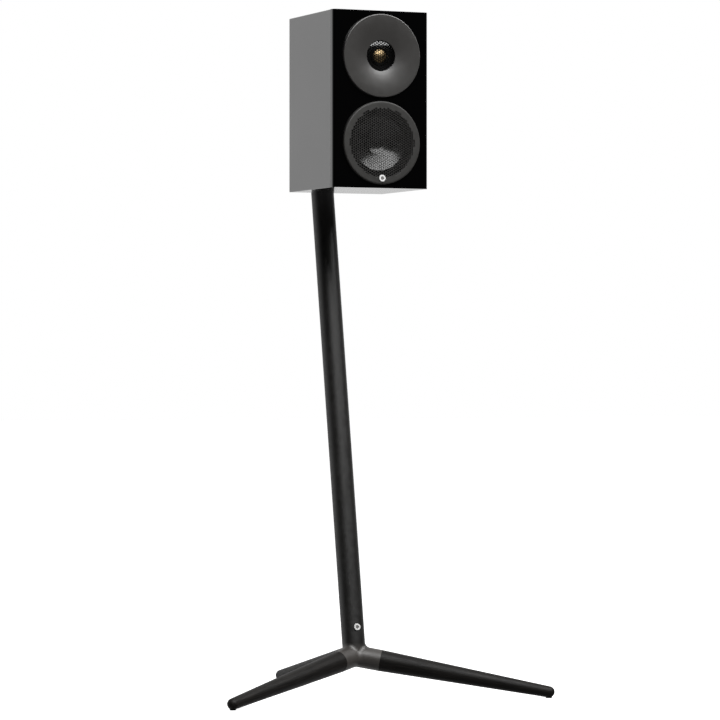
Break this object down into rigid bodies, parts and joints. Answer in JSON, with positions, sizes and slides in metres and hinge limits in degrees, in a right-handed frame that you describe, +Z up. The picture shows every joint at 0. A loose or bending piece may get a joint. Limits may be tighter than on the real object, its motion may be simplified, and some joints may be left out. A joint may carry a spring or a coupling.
{
  "type": "bookshelf speaker on a floor stand",
  "caption": "Two-way box loudspeaker with a perforated woofer guard and a flared tweeter, tilting on a leaning round column with a three-legged foot.",
  "frame": {"origin": "on the floor, in the middle of the box round the three feet", "axes": "+Z up, the speaker faces -Y, +X to the right as seen from the front"},
  "size_m": [0.5192, 0.452, 1.012],
  "materials": {
    "gloss_black": "gloss lacquer over fibreboard",
    "grey_lacquer": "satin lacquer over fibreboard",
    "raw_board": "matte",
    "foam": "matte",
    "black_plastic": "matte",
    "badge_metal": "satin",
    "cast_frame": "matte",
    "motor_steel": "satin",
    "ferrite": "matte",
    "solder_tags": "satin",
    "grille_paint": "matte",
    "waveguide_grey": "satin",
    "mesh_black": "satin",
    "screw_steel": "satin",
    "circuit_board": "satin",
    "copper_wire": "satin",
    "capacitor_sleeve": "gloss",
    "resistor_body": "matte",
    "wire_sleeve": "satin",
    "post_brass": "polished",
    "red_knob": "gloss",
    "black_knob": "gloss",
    "bracket_paint": "satin",
    "cone_paper": "satin",
    "former": "satin",
    "surround_rubber": "matte",
    "spider_cloth": "matte",
    "dome_gold": "satin",
    "column_paint": "satin",
    "hub_casting": "satin",
    "dark_wood": "satin",
    "pad_rubber": "matte"
  },
  "bodies": {
    "stand": {"column": "column_paint", "column_cap": "column_paint", "column_badge": "badge_metal", "hub": "hub_casting", "leg_bolts": "screw_steel", "rear_leg": "dark_wood", "left_leg": "dark_wood", "right_leg": "dark_wood", "foot_pads": "pad_rubber", "bracket_arm": "bracket_paint", "pivot_bolt": "screw_steel"},
    "cabinet": {"front_baffle": "gloss_black", "left_panel": "grey_lacquer", "right_panel": "grey_lacquer", "top_panel": "grey_lacquer", "bottom_panel": "grey_lacquer", "rear_panel": "grey_lacquer", "cabinet_brace": "raw_board", "damping_foam": "foam", "port_tube": "black_plastic", "front_badge": "badge_metal", "woofer_basket": "cast_frame", "woofer_top_plate": "motor_steel", "woofer_magnet": "ferrite", "woofer_back_plate": "motor_steel", "woofer_terminals": "solder_tags", "woofer_grille": "grille_paint", "tweeter_waveguide": "waveguide_grey", "tweeter_faceplate": "black_plastic", "tweeter_mesh": "mesh_black", "tweeter_top_plate": "motor_steel", "tweeter_magnet": "ferrite", "tweeter_back_plate": "motor_steel", "tweeter_rear_cup": "black_plastic", "driver_screws": "screw_steel", "crossover_board": "circuit_board", "board_standoffs": "screw_steel", "inductors": "copper_wire", "capacitors": "capacitor_sleeve", "resistors": "resistor_body", "internal_wires": "wire_sleeve", "terminal_plate": "black_plastic", "terminal_screws": "screw_steel", "post_stems": "post_brass", "bracket_plate": "bracket_paint", "bracket_screws": "screw_steel"},
    "woofer_moving": {"woofer_cone": "cone_paper", "woofer_dust_cap": "cone_paper", "woofer_coil_former": "former", "woofer_voice_coil": "copper_wire", "woofer_surround": "surround_rubber", "woofer_spider": "spider_cloth"},
    "tweeter_moving": {"tweeter_dome": "dome_gold", "tweeter_voice_coil": "copper_wire", "tweeter_surround": "surround_rubber"},
    "positive_nut": {"positive_insert": "post_brass"},
    "positive_cap": {"positive_knob": "red_knob"},
    "negative_nut": {"negative_insert": "post_brass"},
    "negative_cap": {"negative_knob": "black_knob"}
  },
  "joints": [
    {"name": "speaker_tilt", "type": "hinge", "parent": "stand", "child": "cabinet", "pos_m": [0, 0.02345, 0.882], "axis": [1, 0, 0], "range_deg": [-8, 8]},
    {"name": "woofer_stroke", "type": "slide", "parent": "cabinet", "child": "woofer_moving", "axis": [0, -1, 0], "range_m": [-0.003, 0.003], "stiffness_N_per_m": 1200, "deforming": ["woofer_surround", "woofer_spider"]},
    {"name": "tweeter_stroke", "type": "slide", "parent": "cabinet", "child": "tweeter_moving", "axis": [0, -1, 0], "range_m": [-0.0004, 0.0004], "stiffness_N_per_m": 3000, "deforming": ["tweeter_surround"]},
    {"name": "positive_nut_travel", "type": "slide", "parent": "cabinet", "child": "positive_nut", "axis": [0, 1, 0], "range_m": [0, 0.003]},
    {"name": "positive_knob_turn", "type": "hinge", "parent": "positive_nut", "child": "positive_cap", "pos_m": [0.019, 0.00745, 0.957], "axis": [0, 1, 0], "range_deg": [0, 1080]},
    {"name": "negative_nut_travel", "type": "slide", "parent": "cabinet", "child": "negative_nut", "axis": [0, 1, 0], "range_m": [0, 0.003]},
    {"name": "negative_knob_turn", "type": "hinge", "parent": "negative_nut", "child": "negative_cap", "pos_m": [-0.019, 0.00745, 0.957], "axis": [0, 1, 0], "range_deg": [0, 1080]}
  ],
  "couplings": [
    {"joint": "positive_knob_turn", "follows": "positive_nut_travel", "rad_per_m": 6283.2},
    {"joint": "negative_knob_turn", "follows": "negative_nut_travel", "rad_per_m": 6283.2}
  ]
}
